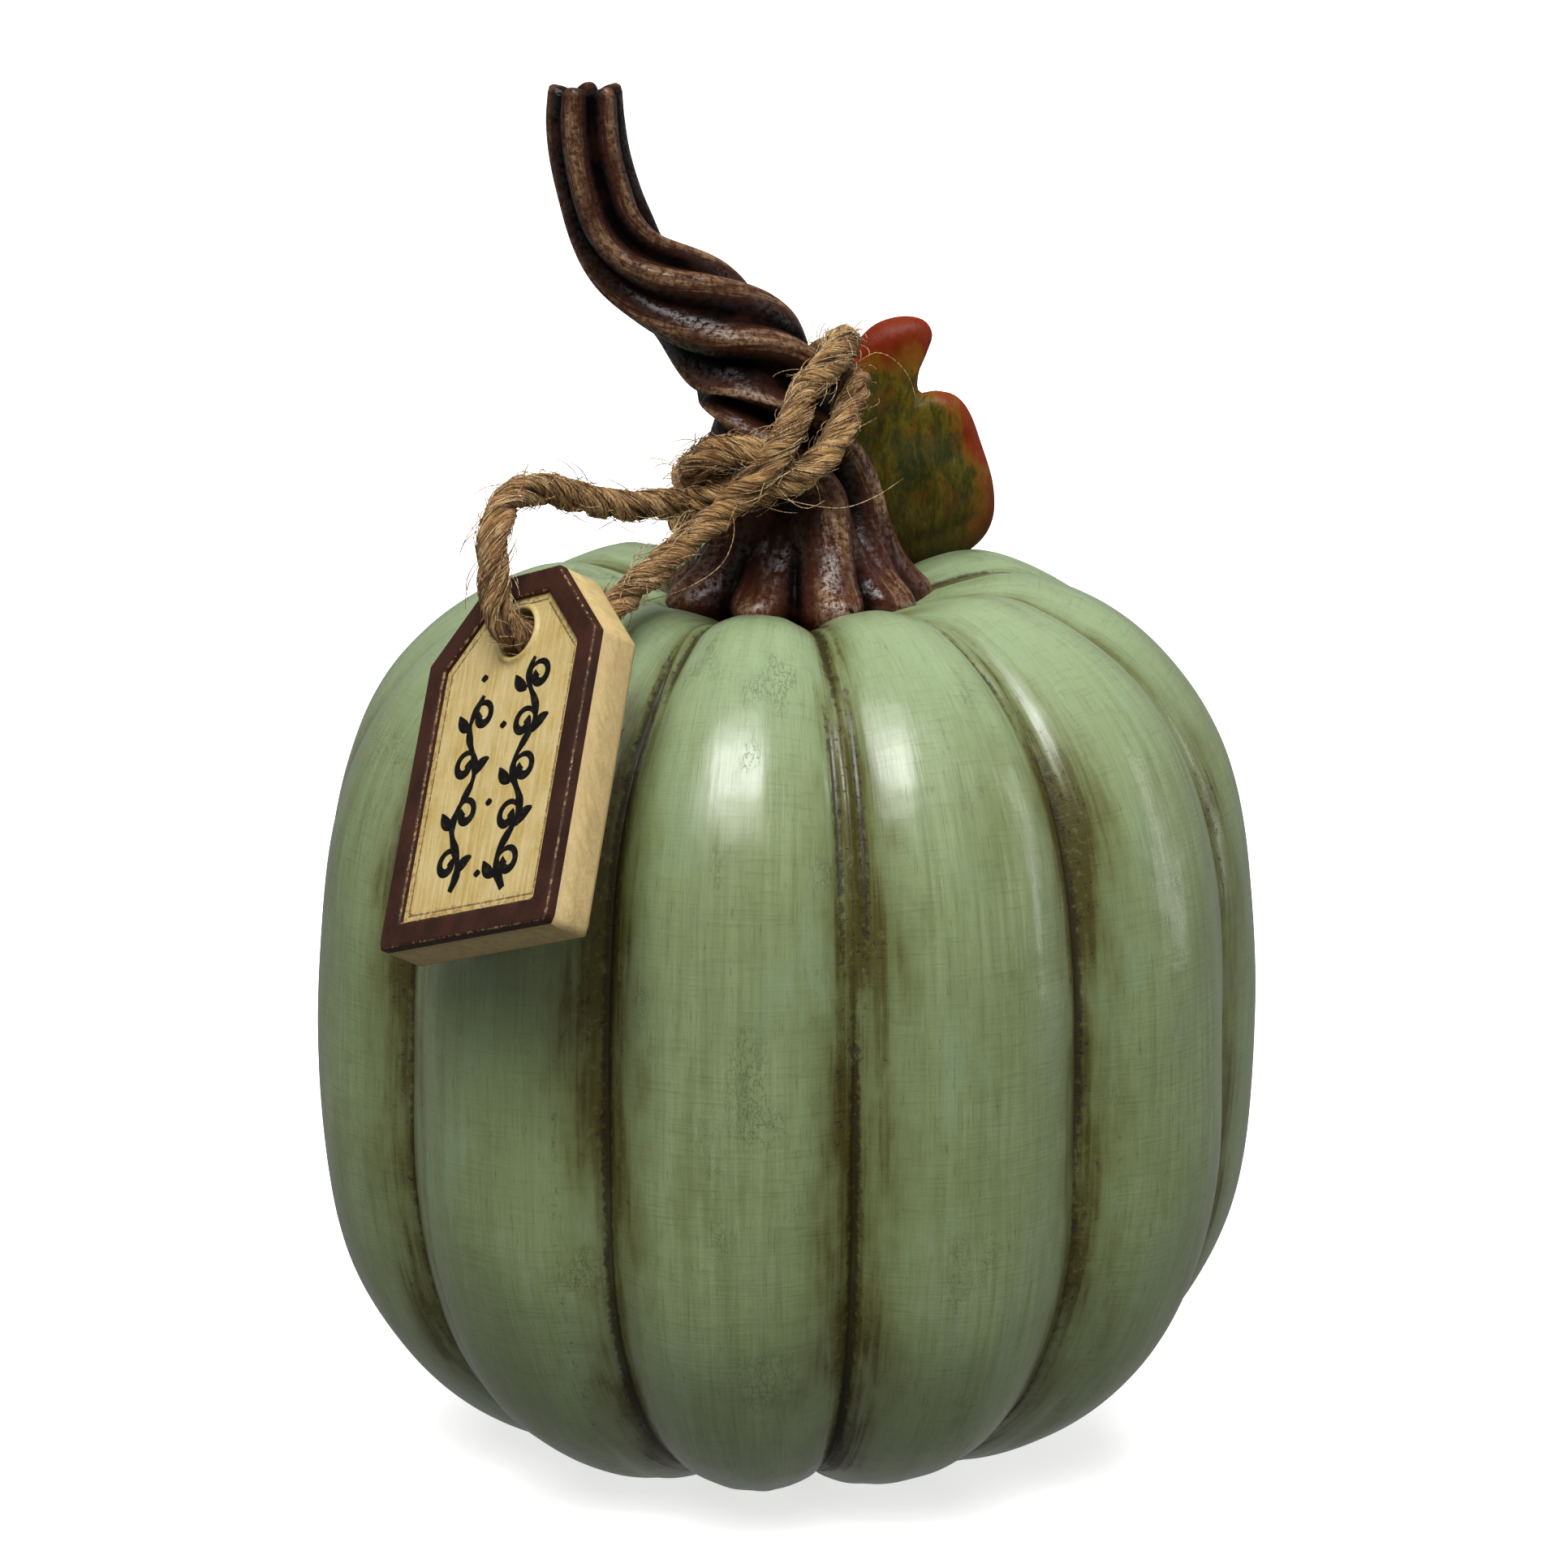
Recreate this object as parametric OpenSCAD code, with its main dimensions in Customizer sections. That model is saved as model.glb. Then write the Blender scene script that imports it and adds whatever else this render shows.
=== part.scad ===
// Ceramic pumpkin figure: a hollow lobed body with a separately cast curling stem and leaf,
// jute twine tied round the stem, and a small plaque tag that hangs on the twine.
// Millimetres, +Z up. The origin is on the body's axis, in the plane that the base rests on.
// Azimuths are in degrees: 0 is the front (-Y), 90 is the right-hand side (+X).

/* [Body] */
// Radius over the crests of the lobes at the belly
body_r = 43.8; // [42:0.1:45]
// Height of the belly, the widest section, above the base
belly_z = 39; // [38:0.5:40]
// Height of the closed dome above the belly, before the crown is dished
crown_h = 45; // [44:0.5:46]
// Depth of the grooves between the lobes at the belly
groove_depth = 3.2; // [2:0.1:4]
// Depth of the dish in the crown, where the stem stands
dish_depth = 7; // [5:0.5:8]
// Radius of the dish in the crown
dish_r = 24; // [22:0.5:26]
// Thickness of the cast wall behind the grooves
wall = 4; // [3:0.5:5]
// Diameter of the vent hole in the base
vent_d = 3; // [2:0.5:3.5]

/* [Stem] */
// Height of the flat seat for the stem above the base
seat_z = 76.5; // [76:0.5:77]
// Radius of the stem's root over its feet
root_r = 13; // [12.5:0.5:13]
// Diameter of the peg that locates the stem in the body
peg_d = 8; // [6:0.5:9]
// Depth of the flutes as a part of the stem's radius
flute = 0.14; // [0.05:0.01:0.2]

/* [Leaf] */
// Thickness of the leaf
leaf_t = 3.4; // [2.5:0.1:4]
// Lean of the leaf to the right
leaf_lean = 11; // [5:1:15]

/* [Twine] */
// Diameter of the jute twine
twine_d = 3; // [2.5:0.1:3.2]

/* [Tag] */
// Width of the tag
tag_w = 21.6; // [20:0.1:22]
// Length of the tag
tag_l = 32.8; // [31:0.1:34]
// Thickness of the tag
tag_t = 4.9; // [4:0.1:5.5]
// Width of the tag's short top edge
tag_top_w = 9; // [8:0.1:10]
// Length of the tag's straight sides
tag_side_l = 26; // [24:0.5:27]
// Width of the tag's raised border
border_w = 2.2; // [1.5:0.1:2.5]
// Height of the border above the label
border_h = 0.5; // [0.3:0.1:0.8]
// Thickness of the label plate
label_t = 0.5; // [0.4:0.1:1]
// Diameter of the hole that the twine runs through
hole_d = 4.4; // [4:0.1:4.6]

/* [Hidden] */

// Azimuths of the grooves, a little irregular as on the hand-finished casting
grooves = [-54, -22, 8.5, 39, 74, 107, 140, 173, 206, 240, 273];
lobe_steps = [0, 0.05, 0.15, 0.3, 0.5, 0.7, 0.85, 0.95];
lobe_round = 2.1;
crown_round = 0.66;
foot_round = 0.77;
groove_fade = 0.72;
// Part of the lower dome that is cut off flat to make the base
base_cut = 1.2;
shell_rows = 36;
last_latitude = 88.5;
// The stem's peg, its clearance in its bore, and the gap between its end and the bore's
peg_l = 5;
peg_fit = 0.05;
peg_end_gap = 0.5;
// The flat seat is cut into the dish by this much more than the root's radius
seat_margin = 1.8;
seat_cut_h = dish_depth + 6;
cavity_rows = 24;
cavity_latitude = 80;
cavity_top = seat_z - peg_l - wall;
vent_y = 5.5;
// How far a cutting solid runs past the face that it cuts
past = 1;

// Middle of the stem and its radius, [x, z, radius], from the seat to the tip
stem_route = [[1.2, seat_z, 12.4], [1.2, 78, root_r], [1.25, 79.9, root_r], [1.3, 81.2, 12.4],
    [1.3, 82.5, 11], [1.3, 84.4, 9.6], [1.1, 87, 8.5], [0.7, 90, 7.8], [0.1, 93, 7.2],
    [-1.2, 97.5, 6.6], [-2.6, 101, 6.1], [-4.9, 103.5, 5.7], [-8, 106.1, 5.1], [-11, 108.3, 4.6],
    [-13.6, 110.8, 4.3], [-15.4, 113.8, 4.2], [-16.5, 117, 4.1], [-17.2, 120, 4],
    [-17.5, 123, 3.9], [-17.5, 125.8, 3.6]];
flutes = 6;
// Power of the sine that draws a flute: higher is a narrower groove
flute_power = 1.5;
stem_sides = 48;
// The flutes turn by this angle for each millimetre of height between the two heights
twist_rate = -6;
twist_low = 86;
twist_high = 112;

// Half outline of the leaf, [across, along], from its base to its tip
leaf_half = [[2, 0], [4.5, 3], [9, 3.4], [12, 6.5], [12.2, 11], [9.8, 16.5], [7, 19.2],
    [3, 18.2], [3.6, 22.5], [2, 24.8]];
leaf_base = [5.6, 11.3, 79.1];
leaf_corner = 1;

turn_clear = 0.2;
// Height at the front and rise to the right of each turn of twine round the stem
turns = [[97, 6.2], [93.2, 6.4]];
ring_steps = 36;
cord_sides = 8;
knot_mid = [-4.8, -10, 92.4];
knot_size = [10, 6.4, 8];
knot_turn = [0, -18, 12];

// The tag's frame: hole centre on the front face, heading of the face, its rise and its roll
tag_at = [-23, -31, 82.7];
tag_heading = -53;
tag_rise = 27.5;
tag_roll = 19.5;
hole_drop = 5.4;
// Width and height of the raised rim round the hole
rim_w = 0.6;
rim_h = 0.3;
// The stretch of twine in the hole ends this far inside the tag's faces
bight_inset = 0.1;

// The free strands of the twine, from the knot to the hole and from the hole to the knot
front_route = [[-8.5, -9.8, 90.5], [-11.3, -12, 90.3], [-14.5, -14.5, 90.7], [-17.8, -17.5, 91.9],
    [-20.4, -20.5, 93.1], [-22.5, -23.5, 93.4], [-24, -26.3, 92.5], [-24.7, -28.5, 90.7],
    [-24.8, -30, 88.6], [-24.6, -31, 86.3], [-24.4, -31.5, 84.7], [-23.9, -31.6, 83.5],
    [-23.4, -31.3, 83]];
back_route = [[-19.2, -28.1, 80.2], [-18.2, -27.3, 79.9], [-16.6, -26.2, 81], [-14.8, -25, 83.2],
    [-12.9, -22, 84.8], [-10.7, -19, 86.3], [-8.4, -16, 87.6], [-5.6, -13.5, 89.5],
    [-3.4, -12, 91.2]];

// Latitude to the outline of a lobe's crest, [radius, height]
function dish(r) = dish_depth * pow(max(0, 1 - pow(r / dish_r, 2)), 2);
function power_of(s, e) = sign(s) * pow(abs(s), e);
function crest(t) =
    let (
        e = t > 0 ? crown_round : foot_round,
        r = body_r * pow(cos(t), e),
        h = t > 0 ? crown_h : belly_z + base_cut
    )
    [r, belly_z + h * power_of(sin(t), e) - (t > 0 ? dish(r) : 0)];
function inward(t) =
    let (a = crest(t - 0.3), b = crest(t + 0.3), d = b - a)
    [-d[1], d[0]] / norm(d);
// A point of the shell: groove is 0 on a lobe's crest and 1 in a groove
function shell_point(azimuth, t, groove) =
    let (
        c = crest(t),
        sink = groove * groove_depth * pow(c[0] / body_r, groove_fade),
        p = c + sink * inward(t)
    )
    [p[0] * sin(azimuth), -p[0] * cos(azimuth), max(0, p[1])];
function lobe_end(i) = i + 1 < len(grooves) ? grooves[i + 1] : grooves[0] + 360;

// Skin between rings of equal length, closed at both ends by a fan round the ring's middle
function middle(ring) = [for (p = ring) 1] * ring / len(ring);
module skin(rings) {
    n = len(rings[0]);
    m = len(rings);
    low = m * n;
    high = low + 1;
    points = concat(
        [for (ring = rings) each ring],
        [middle(rings[0]), middle(rings[m - 1])]
    );
    sides = [
        for (i = [0:m - 2]) for (j = [0:n - 1])
            let (a = i * n + j, b = i * n + (j + 1) % n)
            each [[a, b + n, b], [a, a + n, b + n]]
    ];
    ends = [
        for (j = [0:n - 1])
            let (k = (j + 1) % n, top = (m - 1) * n)
            each [[low, j, k], [high, top + k, top + j]]
    ];
    polyhedron(points, concat(sides, ends), convexity = 8);
}

// Skin that closes on itself, for a ring of cord
module closed_skin(rings) {
    n = len(rings[0]);
    m = len(rings);
    faces = [
        for (i = [0:m - 1]) for (j = [0:n - 1])
            let (
                k = (i + 1) % m,
                a = i * n + j,
                b = i * n + (j + 1) % n,
                c = k * n + (j + 1) % n,
                d = k * n + j
            )
            each [[a, c, b], [a, d, c]]
    ];
    polyhedron([for (ring = rings) each ring], faces, convexity = 8);
}

function unit(v) = v / norm(v);
function along(route, i) =
    unit(route[min(i + 1, len(route) - 1)] - route[max(i - 1, 0)]);
// A ring of a cord round point i of its route, kept square to the route
function cord_ring(route, i) =
    let (
        t = along(route, i),
        s = unit(cross(t, [0.3, -0.5, 0.8])),
        u = cross(s, t)
    )
    [for (k = [0:cord_sides - 1])
        let (w = 360 * (k + 0.5) / cord_sides)
        route[i] + twine_d / 2 * (cos(w) * s - sin(w) * u)];

module cord(route) {
    skin([for (i = [0:len(route) - 1]) cord_ring(route, i)]);
}

module body_shell() {
    rows = [for (i = [0:shell_rows]) -last_latitude + 2 * last_latitude * i / shell_rows];
    color([0.56, 0.66, 0.5])
    difference() {
        skin([
            for (t = rows) [
                for (i = [0:len(grooves) - 1]) for (u = lobe_steps)
                    shell_point(
                        grooves[i] + u * (lobe_end(i) - grooves[i]),
                        t,
                        pow(abs(2 * u - 1), lobe_round)
                    )
            ]
        ]);
        cavity();
        translate([0, 0, seat_z])
        cylinder(r = root_r + seat_margin, h = seat_cut_h, $fn = 96);
        translate([0, 0, seat_z - peg_l])
        cylinder(d = peg_d + 2 * peg_fit, h = peg_l + past, $fn = 48);
        translate([0, vent_y, -past])
        cylinder(d = vent_d, h = wall + 4 * past, $fn = 32);
    }
}

// The hollow of the casting: the groove line moved in by the wall
module cavity() {
    outline = [
        for (i = [0:cavity_rows])
            let (
                t = cavity_latitude * (2 * i / cavity_rows - 1),
                c = crest(t) + (wall + groove_depth) * inward(t)
            )
            [max(0, c[0]), min(cavity_top, max(wall, c[1]))]
    ];
    rotate_extrude($fn = 96)
    polygon(concat([[0, wall]], outline, [[0, cavity_top]]));
}

// The stem's middle line and radius between two route points, on a smooth curve
function stem_at(i, u) =
    let (
        n = len(stem_route) - 1,
        a = stem_route[max(0, i - 1)],
        b = stem_route[i],
        c = stem_route[min(n, i + 1)],
        d = stem_route[min(n, i + 2)]
    )
    ((2 * b) + (c - a) * u + (2 * a - 5 * b + 4 * c - d) * u * u
        + (3 * b - a - 3 * c + d) * u * u * u) / 2;
function stem_twist(z) = twist_rate * (min(twist_high, max(twist_low, z)) - twist_low);
function stem_ring(p, q) =
    let (
        d = unit([q[0] - p[0], 0, q[1] - p[1]]),
        s = [d[2], 0, -d[0]]
    )
    [for (k = [0:stem_sides - 1])
        let (
            w = 360 * k / stem_sides,
            groove = pow(abs(sin(flutes * (w - stem_twist(p[1])) / 2)), flute_power),
            r = p[2] * (1 - flute * groove)
        )
        [p[0], 0, p[1]] + r * (cos(w) * s + sin(w) * [0, 1, 0])];

module stem() {
    stations = [
        for (i = [0:len(stem_route) - 2]) for (u = [0, 1 / 3, 2 / 3]) stem_at(i, u)
    ];
    tip = stem_at(len(stem_route) - 2, 1);
    line = concat(stations, [tip]);
    last = len(line) - 1;
    color([0.28, 0.19, 0.15])
    union() {
        skin([
            for (i = [0:last])
                i == 0
                    ? stem_ring(line[0], line[0] + [0, 1, 0])
                    : stem_ring(line[i], i < last ? line[i + 1] : 2 * line[i] - line[i - 1])
        ]);
        translate([0, 0, seat_z - peg_l + peg_end_gap])
        cylinder(d = peg_d, h = peg_l + past, $fn = 48);
    }
}

module leaf() {
    n = len(leaf_half) - 1;
    outline = concat(leaf_half, [for (i = [n:-1:0]) [-leaf_half[i][0], leaf_half[i][1]]]);
    color([0.45, 0.38, 0.12])
    translate(leaf_base + [0, leaf_t, 0])
    rotate([90, leaf_lean, 0])
    linear_extrude(leaf_t)
    offset(r = leaf_corner, $fn = 24)
    offset(delta = -leaf_corner)
    polygon(outline);
}

// The stem's middle and radius at a height, for what is wrapped round it
function stem_x(z) = lookup(z, [for (p = stem_route) [p[1], p[0]]]);
function stem_r(z) = lookup(z, [for (p = stem_route) [p[1], p[2]]]);
function stem_slope(z) = (stem_x(z + 1) - stem_x(z - 1)) / 2;
function turn_point(w, turn) =
    let (
        z = turn[0] + turn[1] * sin(w),
        r = stem_r(z),
        stretch = sqrt(1 + pow(stem_slope(z), 2)),
        off = twine_d / 2 + turn_clear
    )
    [stem_x(z) + (r * stretch + off) * sin(w), -(r + off) * cos(w), z];
function turn_ring(w, turn) =
    let (
        p = turn_point(w, turn),
        t = unit(turn_point(w + 3, turn) - turn_point(w - 3, turn)),
        o = unit([sin(w), -cos(w), 0]),
        u = cross(t, unit(o - (o * t) * t))
    )
    [for (k = [0:cord_sides - 1])
        let (v = 360 * (k + 0.5) / cord_sides)
        p + twine_d / 2 * (cos(v) * cross(u, t) + sin(v) * u)];

module twine_turns() {
    color([0.62, 0.45, 0.26])
    for (turn = turns)
        closed_skin([for (i = [0:ring_steps - 1]) turn_ring(360 * i / ring_steps, turn)]);
}

module twine_knot() {
    color([0.55, 0.38, 0.2])
    translate(knot_mid)
    rotate(knot_turn)
    scale(knot_size / 2)
    sphere(r = 1, $fn = 24);
}

module twine_loop_front() {
    color([0.62, 0.45, 0.26]) cord(front_route);
}

module twine_loop_back() {
    color([0.62, 0.45, 0.26]) cord(back_route);
}

// Everything of the tag is drawn face up, with the hole at the origin, and then hung
module hang() {
    translate(tag_at)
    rotate([90 - tag_rise, 0, tag_heading])
    rotate([0, 0, tag_roll])
    children();
}

// The tag's outline, moved in from its edge all round
function tag_outline(inset) =
    let (
        top = hole_drop - inset,
        bottom = hole_drop - tag_l + inset,
        side = tag_w / 2 - inset,
        shoulder = hole_drop - tag_l + tag_side_l,
        slope = unit([hole_drop - shoulder, (tag_w - tag_top_w) / 2]),
        reach = slope * [tag_w / 2, shoulder] - inset,
        shoulder_in = (reach - slope[0] * side) / slope[1],
        top_in = (reach - slope[1] * top) / slope[0]
    )
    [[-side, bottom], [side, bottom], [side, shoulder_in], [top_in, top], [-top_in, top],
        [-side, shoulder_in]];

module tag_hole() {
    translate([0, 0, -tag_t - past])
    cylinder(d = hole_d, h = tag_t + 2 * past, $fn = 48);
}

module tag_block() {
    color([0.83, 0.7, 0.48])
    hang()
    difference() {
        translate([0, 0, -tag_t])
        linear_extrude(tag_t - border_h - label_t)
        polygon(tag_outline(0));
        tag_hole();
    }
}

module tag_border() {
    color([0.25, 0.14, 0.12])
    hang()
    translate([0, 0, -border_h - label_t])
    difference() {
        linear_extrude(border_h + label_t) polygon(tag_outline(0));
        translate([0, 0, -past])
        linear_extrude(border_h + label_t + 2 * past) polygon(tag_outline(border_w));
    }
}

module tag_label() {
    color([0.88, 0.78, 0.5])
    hang()
    difference() {
        union() {
            translate([0, 0, -border_h - label_t])
            linear_extrude(label_t) polygon(tag_outline(border_w));
            translate([0, 0, -border_h - label_t])
            cylinder(d = hole_d + 2 * rim_w, h = label_t + rim_h, $fn = 48);
        }
        tag_hole();
    }
}

// The stretch of twine inside the tag's hole, on which the tag swings
module twine_bight() {
    color([0.62, 0.45, 0.26])
    hang()
    translate([0, 0, bight_inset - tag_t])
    cylinder(d = twine_d, h = tag_t - 2 * bight_inset, $fn = 32);
}

body_shell();
stem();
leaf();
twine_turns();
twine_knot();
twine_loop_front();
twine_bight();
twine_loop_back();
tag_block();
tag_border();
tag_label();
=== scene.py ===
from math import cos, hypot, pi, radians, sin, sqrt, tau

import bpy
import numpy as np
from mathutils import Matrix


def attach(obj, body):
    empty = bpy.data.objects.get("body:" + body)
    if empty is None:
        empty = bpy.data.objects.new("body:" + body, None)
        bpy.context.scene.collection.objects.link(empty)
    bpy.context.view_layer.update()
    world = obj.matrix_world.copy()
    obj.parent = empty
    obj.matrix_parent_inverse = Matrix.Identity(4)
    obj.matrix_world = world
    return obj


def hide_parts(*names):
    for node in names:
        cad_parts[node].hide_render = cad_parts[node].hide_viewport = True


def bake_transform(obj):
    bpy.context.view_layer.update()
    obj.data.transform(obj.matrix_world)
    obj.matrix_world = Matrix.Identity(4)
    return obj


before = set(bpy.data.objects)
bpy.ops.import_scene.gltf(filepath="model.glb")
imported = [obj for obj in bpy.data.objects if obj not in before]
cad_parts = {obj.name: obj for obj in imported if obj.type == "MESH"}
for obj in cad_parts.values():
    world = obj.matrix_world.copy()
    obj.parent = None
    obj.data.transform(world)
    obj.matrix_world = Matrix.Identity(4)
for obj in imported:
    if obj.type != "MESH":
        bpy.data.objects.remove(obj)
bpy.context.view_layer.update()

# Shapes below are worked out in millimetres, and each mesh is made in metres.
MM = 0.001
# Steps between two given points of a smooth line, before it is cut into equal steps
SPAN_STEPS = 24


# ---- shapes

def unit(v):
    """Vectors scaled to length 1."""
    v = np.asarray(v, float)
    return v / np.linalg.norm(v, axis=-1, keepdims=True)


def ease(value, low, high):
    """0 below low, 1 above high, and smooth between them."""
    t = np.clip((np.asarray(value, float) - low) / (high - low), 0, 1)
    return t * t * (3 - 2 * t)


def smooth_line(points, step, closed=False):
    """A smooth curve through the points, cut into equal steps."""
    p = np.array(points, float)
    if closed:
        p = np.vstack([p[-1:], p, p[:2]])
    else:
        p = np.vstack([2 * p[0] - p[1], p, 2 * p[-1] - p[-2]])
    u = np.linspace(0, 1, SPAN_STEPS, endpoint=False)[:, None]
    spans = [
        0.5 * (2 * b + (c - a) * u + (2 * a - 5 * b + 4 * c - d) * u**2 + (3 * b - a - 3 * c + d) * u**3)
        for a, b, c, d in zip(p, p[1:], p[2:], p[3:])
    ]
    fine = np.vstack(spans + [p[-2:-1]])
    run = run_along(fine)
    line = read_off(np.linspace(0, run[-1], max(2, round(run[-1] / step) + 1)), run, fine)
    return line[:-1] if closed else line


def run_along(line):
    """The length of a line up to each of its points."""
    return np.concatenate([[0], np.cumsum(np.linalg.norm(np.diff(line, axis=0), axis=1))])


def read_off(at, run, values):
    """Rows of values, which are given at each run, read off at other runs."""
    return np.stack([np.interp(at, run, column) for column in values.T], -1)


def circle(count):
    """Equally spaced angles round a circle."""
    return np.arange(count) * tau / count


def frames(line):
    """The direction of a line at each point, and two directions square to it that don't spin."""
    along = unit(np.gradient(line, axis=0))
    side = np.empty_like(line)
    side[0] = unit(np.cross(along[0], [0.3, -0.5, 0.8]))
    for i in range(1, len(line)):
        side[i] = unit(side[i - 1] - along[i] * (side[i - 1] @ along[i]))
    return along, side, np.cross(along, side)


def facing(azimuth, elevation):
    """The direction at an azimuth from the front towards the right, and an elevation, in radians."""
    level = cos(elevation)
    return np.array([sin(azimuth) * level, -cos(azimuth) * level, sin(elevation)])


def spoke(side, up, angle):
    """Directions at an angle round a line, between two directions square to it."""
    return np.cos(angle)[..., None] * side + np.sin(angle)[..., None] * up


def waves(points, size, seed, count=7):
    """Smooth unevenness between about -1 and 1, with bumps of the given size."""
    rng = np.random.default_rng(seed)
    directions = unit(rng.normal(size=(count, 3)))
    pitch = rng.uniform(0.7, 1.5, count) * tau / size
    phase = rng.uniform(0, tau, count)
    return np.sin((points @ directions.T) * pitch + phase).sum(-1) / sqrt(count)


def ring_faces(rings, sides, first=0):
    """Quads between rings of points, each ring closed on itself."""
    row = np.arange(rings - 1)[:, None]
    column = np.arange(sides)[None, :]
    a = first + row * sides + column
    b = first + row * sides + (column + 1) % sides
    return np.stack([a, b, b + sides, a + sides], -1).reshape(-1, 4).tolist()


def placed(name, data):
    """A new object in the scene."""
    made = bpy.data.objects.new(name, data)
    bpy.context.scene.collection.objects.link(made)
    return made


def piece(name, points, faces, finish, body, slot, **attributes):
    """A smooth mesh of one finish, which rides on a body if one is named.

    Each attribute has a number or a vector for every point.
    """
    mesh = bpy.data.meshes.new(name)
    mesh.from_pydata((np.asarray(points) * MM).tolist(), [], faces)
    mesh.shade_smooth()
    mesh.materials.append(finish)
    for key, values in attributes.items():
        values = np.asarray(values, np.float32)
        kind, field = ("FLOAT", "value") if values.ndim == 1 else ("FLOAT_VECTOR", "vector")
        mesh.attributes.new(key, kind, "POINT").data.foreach_set(field, values.ravel())
    made = placed(name, mesh)
    if body:
        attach(made, body)
    return made


def ring_piece(name, rings, finish, body, slot, **attributes):
    """A piece from rings of points, each ring closed on itself, with attributes laid out like the rings."""
    count, sides = rings.shape[:2]
    flat = {key: values.reshape(count * sides, *values.shape[2:]) for key, values in attributes.items()}
    return piece(name, rings.reshape(-1, 3), ring_faces(count, sides), finish, body, slot, **flat)


# ---- camera

camera_data = bpy.data.cameras.new("camera")
camera_data.lens = 115.15
camera_data.sensor_width = 36
camera_data.clip_start = 0.01
camera = placed("camera", camera_data)
camera.location = (0, -0.4497, 0.1655)
camera.rotation_euler = (radians(90 - 12.93), 0, 0)
bpy.context.scene.camera = camera


# ---- finishes

class Finish:
    """Builds a node material. Most methods add a node and return its output socket."""

    def __init__(self, name, **shader):
        self.material = bpy.data.materials.new(name)
        self.material.use_nodes = True
        self.tree = self.material.node_tree
        self.shader = self.tree.nodes["Principled BSDF"]
        self.fill(**shader)

    def fill(self, **shader):
        """Links or sets the shader's own sockets, and returns the material."""
        for key, value in shader.items():
            self.put(self.shader.inputs[key.replace("_", " ")], value)
        return self.material

    def put(self, socket, value):
        """Links a socket to another, or sets its constant."""
        if isinstance(value, bpy.types.NodeSocket):
            self.tree.links.new(value, socket)
        elif hasattr(value, "__len__") and len(value) == 3 and socket.type == "RGBA":
            socket.default_value = (*value, 1)
        else:
            socket.default_value = value

    def add(self, kind, inputs, out=0, **settings):
        """A node of any kind, with its inputs and settings."""
        node = self.tree.nodes.new(kind)
        for key, value in settings.items():
            setattr(node, key, value)
        for key, value in inputs.items():
            self.put(node.inputs[key], value)
        return node.outputs[out]

    def place(self):
        """The place of a point in the frame, in millimetres."""
        at = self.add("ShaderNodeTexCoord", {}, out="Object")
        return self.stretch(at, 1 / MM, 1 / MM, 1 / MM)

    def attribute(self, name, out="Fac"):
        """An attribute of the mesh, which is a number unless "Vector" is asked for."""
        return self.add("ShaderNodeAttribute", {}, out=out, attribute_name=name)

    def stretch(self, vector, x, y, z):
        """A place scaled along each axis: a small factor draws a pattern out along that axis."""
        return self.add("ShaderNodeVectorMath", {0: vector, 1: (x, y, z)}, operation="MULTIPLY")

    def part(self, vector, axis):
        """One axis of a place."""
        return self.add("ShaderNodeSeparateXYZ", {0: vector}, out=axis)

    def noise(self, vector, scale, detail=4, rough=0.55, warp=0):
        """Soft noise of about 0.3 to 0.7, with the given number of bumps to a millimetre."""
        inputs = {"Vector": vector, "Scale": scale, "Detail": detail, "Roughness": rough}
        return self.add("ShaderNodeTexNoise", {**inputs, "Distortion": warp})

    def between(self, value, low, high, start=0, end=1):
        """Runs smoothly from start at low to end at high."""
        inputs = {"Value": value, "From Min": low, "From Max": high, "To Min": start, "To Max": end}
        return self.add("ShaderNodeMapRange", inputs, interpolation_type="SMOOTHSTEP")

    def math(self, operation, a, b=0, c=0):
        """Arithmetic on one, two or three numbers."""
        return self.add("ShaderNodeMath", {0: a, 1: b, 2: c}, operation=operation)

    def times(self, a, b):
        return self.math("MULTIPLY", a, b)

    def plus(self, a, b):
        return self.math("ADD", a, b)

    def mix(self, share, a, b):
        """Colour a with the given share of colour b."""
        return self.add("ShaderNodeMix", {0: share, 6: a, 7: b}, out=2, data_type="RGBA")

    def layers(self, colour, *paints):
        """Paints laid over a colour in turn, each where a value goes from low to high, up to a share."""
        for value, low, high, share, paint in paints:
            colour = self.mix(self.between(value, low, high, 0, share), colour, paint)
        return colour

    def relief(self, *heights, under=None):
        """Relief in layers, each a height and its depth in millimetres, laid over the relief under them."""
        for height, depth in heights:
            inputs = {"Height": height, "Distance": depth * MM, "Strength": 1}
            if under is not None:
                inputs["Normal"] = under
            under = self.add("ShaderNodeBump", inputs)
        return under


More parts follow.
